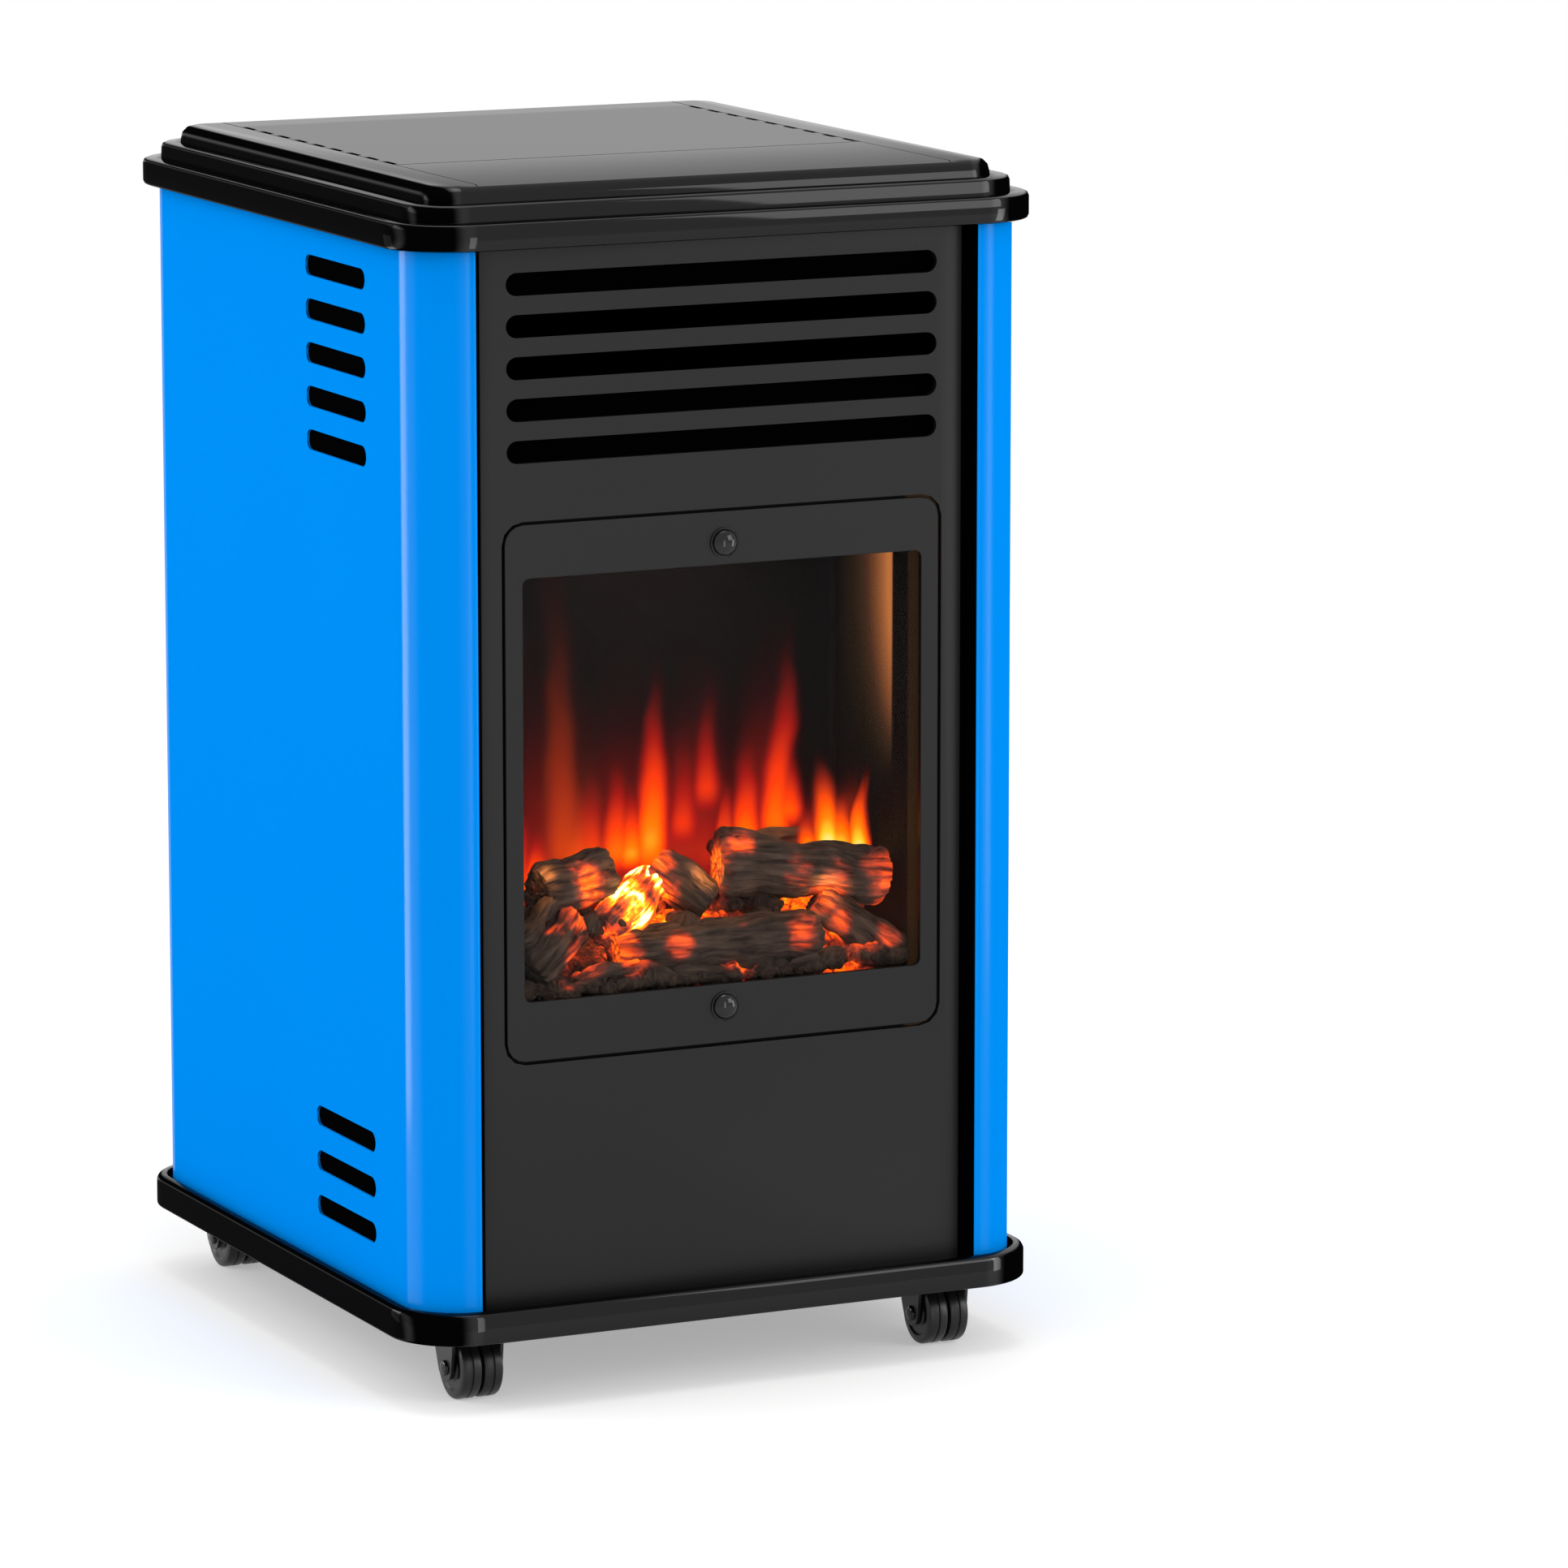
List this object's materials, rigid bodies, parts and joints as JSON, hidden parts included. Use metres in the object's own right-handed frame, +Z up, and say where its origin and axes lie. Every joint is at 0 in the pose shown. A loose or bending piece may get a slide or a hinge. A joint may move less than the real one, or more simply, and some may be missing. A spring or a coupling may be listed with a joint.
{
  "type": "portable gas cabinet heater",
  "caption": "Upright sheet-steel gas cabinet heater with a stepped cap, louvres, a glazed log-fire window, a rear bay for the bottle and swivel casters.",
  "frame": {"origin": "on the floor, under the middle of the tray and cap outline", "axes": "+Z up; the glazed front faces -Y, the bottle bay's door +Y; +X to the right seen from the front"},
  "size_m": [0.43, 0.47, 0.75],
  "materials": {
    "gloss_black": "gloss black stove enamel",
    "blue_enamel": "gloss mid-blue enamel",
    "satin_black": "satin black powder coat",
    "inner_black": "matt black heat-resistant paint",
    "zinc_steel": "zinc-plated sheet steel",
    "firebox_steel": "heat-resistant black paint, smoked",
    "glass": "heat-resistant tinted glass",
    "black_chrome": "black chrome",
    "charred_ceramic": "moulded ceramic fibre, painted as charred wood",
    "ember_ceramic": "moulded ceramic fibre, painted as embers",
    "white_ceramic": "glazed insulator",
    "brass": "machined and drawn brass and copper",
    "aluminium": "die-cast, as cast",
    "moulded_black": "moulded nylon"
  },
  "bodies": {
    "cabinet": {"base_tray": "gloss_black", "top_cap": "gloss_black", "side_panel_left": "blue_enamel", "side_panel_right": "blue_enamel", "front_panel": "satin_black", "rear_frame": "satin_black", "control_deck": "satin_black", "window_frame": "satin_black", "heat_shield": "inner_black", "heat_deflector": "inner_black", "door_hinge_pin_lower": "zinc_steel", "door_hinge_pin_upper": "zinc_steel", "lid_hinge_pin_left": "zinc_steel", "lid_hinge_pin_right": "zinc_steel", "burner": "zinc_steel", "pilot_bracket": "zinc_steel", "caster_plate_fl": "zinc_steel", "caster_plate_fr": "zinc_steel", "caster_plate_rl": "zinc_steel", "caster_plate_rr": "zinc_steel", "firebox": "firebox_steel", "window_glass": "glass", "dome_nut_lower": "black_chrome", "dome_nut_upper": "black_chrome", "injector": "brass", "pilot_burner": "brass", "thermocouple": "brass", "burner_pipe": "brass", "hose_nozzle": "brass", "ember_bed": "ember_ceramic", "log_front": "charred_ceramic", "log_back_right": "charred_ceramic", "log_back_left": "charred_ceramic", "log_left_corner": "charred_ceramic", "log_middle": "charred_ceramic", "log_right_front": "charred_ceramic", "spark_electrode": "white_ceramic", "gas_valve": "aluminium", "piezo_igniter": "moulded_black"},
    "lid": {"top_lid": "gloss_black"},
    "door": {"rear_door": "satin_black"},
    "spindle": {"valve_spindle": "brass"},
    "knob": {"control_knob": "moulded_black"},
    "igniter_button": {"piezo_button": "moulded_black"},
    "swivel_fl": {"caster_fork_fl": "moulded_black", "caster_axle_fl": "black_chrome"},
    "wheel_fl_l": {"caster_wheel_fl_l": "moulded_black"},
    "wheel_fl_r": {"caster_wheel_fl_r": "moulded_black"},
    "swivel_fr": {"caster_fork_fr": "moulded_black", "caster_axle_fr": "black_chrome"},
    "wheel_fr_l": {"caster_wheel_fr_l": "moulded_black"},
    "wheel_fr_r": {"caster_wheel_fr_r": "moulded_black"},
    "swivel_rl": {"caster_fork_rl": "moulded_black", "caster_axle_rl": "black_chrome"},
    "wheel_rl_l": {"caster_wheel_rl_l": "moulded_black"},
    "wheel_rl_r": {"caster_wheel_rl_r": "moulded_black"},
    "swivel_rr": {"caster_fork_rr": "moulded_black", "caster_axle_rr": "black_chrome"},
    "wheel_rr_l": {"caster_wheel_rr_l": "moulded_black"},
    "wheel_rr_r": {"caster_wheel_rr_r": "moulded_black"}
  },
  "joints": [
    {"name": "lid_hinge", "type": "hinge", "parent": "cabinet", "child": "lid", "pos_m": [0, 0.2025, 0.742], "axis": [-1, 0, 0], "range_deg": [0, 100]},
    {"name": "door_hinge", "type": "hinge", "parent": "cabinet", "child": "door", "pos_m": [-0.162, 0.2295, 0.385], "axis": [0, 0, 1], "range_deg": [0, 110]},
    {"name": "knob_turn", "type": "hinge", "parent": "cabinet", "child": "spindle", "pos_m": [0.078, 0.045, 0.7], "axis": [0, 0, 1], "range_deg": [0, 210]},
    {"name": "knob_push", "type": "slide", "parent": "spindle", "child": "knob", "axis": [0, 0, -1], "range_m": [0, 0.004], "stiffness_N_per_m": 1500, "springref_m": -0.0015},
    {"name": "igniter_push", "type": "slide", "parent": "cabinet", "child": "igniter_button", "axis": [0, 0, -1], "range_m": [0, 0.005], "stiffness_N_per_m": 1500, "springref_m": -0.0015},
    {"name": "swivel_fl", "type": "hinge", "parent": "cabinet", "child": "swivel_fl", "pos_m": [-0.16, -0.183, 0.045], "axis": [0, 0, 1], "continuous": true},
    {"name": "wheel_spin_fl_l", "type": "hinge", "parent": "swivel_fl", "child": "wheel_fl_l", "pos_m": [-0.16, -0.187, 0.02], "axis": [1, 0, 0], "continuous": true},
    {"name": "wheel_spin_fl_r", "type": "hinge", "parent": "swivel_fl", "child": "wheel_fl_r", "pos_m": [-0.16, -0.187, 0.02], "axis": [1, 0, 0], "continuous": true},
    {"name": "swivel_fr", "type": "hinge", "parent": "cabinet", "child": "swivel_fr", "pos_m": [0.16, -0.183, 0.045], "axis": [0, 0, 1], "continuous": true},
    {"name": "wheel_spin_fr_l", "type": "hinge", "parent": "swivel_fr", "child": "wheel_fr_l", "pos_m": [0.16, -0.187, 0.02], "axis": [1, 0, 0], "continuous": true},
    {"name": "wheel_spin_fr_r", "type": "hinge", "parent": "swivel_fr", "child": "wheel_fr_r", "pos_m": [0.16, -0.187, 0.02], "axis": [1, 0, 0], "continuous": true},
    {"name": "swivel_rl", "type": "hinge", "parent": "cabinet", "child": "swivel_rl", "pos_m": [-0.16, 0.199, 0.045], "axis": [0, 0, 1], "continuous": true},
    {"name": "wheel_spin_rl_l", "type": "hinge", "parent": "swivel_rl", "child": "wheel_rl_l", "pos_m": [-0.16, 0.195, 0.02], "axis": [1, 0, 0], "continuous": true},
    {"name": "wheel_spin_rl_r", "type": "hinge", "parent": "swivel_rl", "child": "wheel_rl_r", "pos_m": [-0.16, 0.195, 0.02], "axis": [1, 0, 0], "continuous": true},
    {"name": "swivel_rr", "type": "hinge", "parent": "cabinet", "child": "swivel_rr", "pos_m": [0.16, 0.199, 0.045], "axis": [0, 0, 1], "continuous": true},
    {"name": "wheel_spin_rr_l", "type": "hinge", "parent": "swivel_rr", "child": "wheel_rr_l", "pos_m": [0.16, 0.195, 0.02], "axis": [1, 0, 0], "continuous": true},
    {"name": "wheel_spin_rr_r", "type": "hinge", "parent": "swivel_rr", "child": "wheel_rr_r", "pos_m": [0.16, 0.195, 0.02], "axis": [1, 0, 0], "continuous": true}
  ]
}
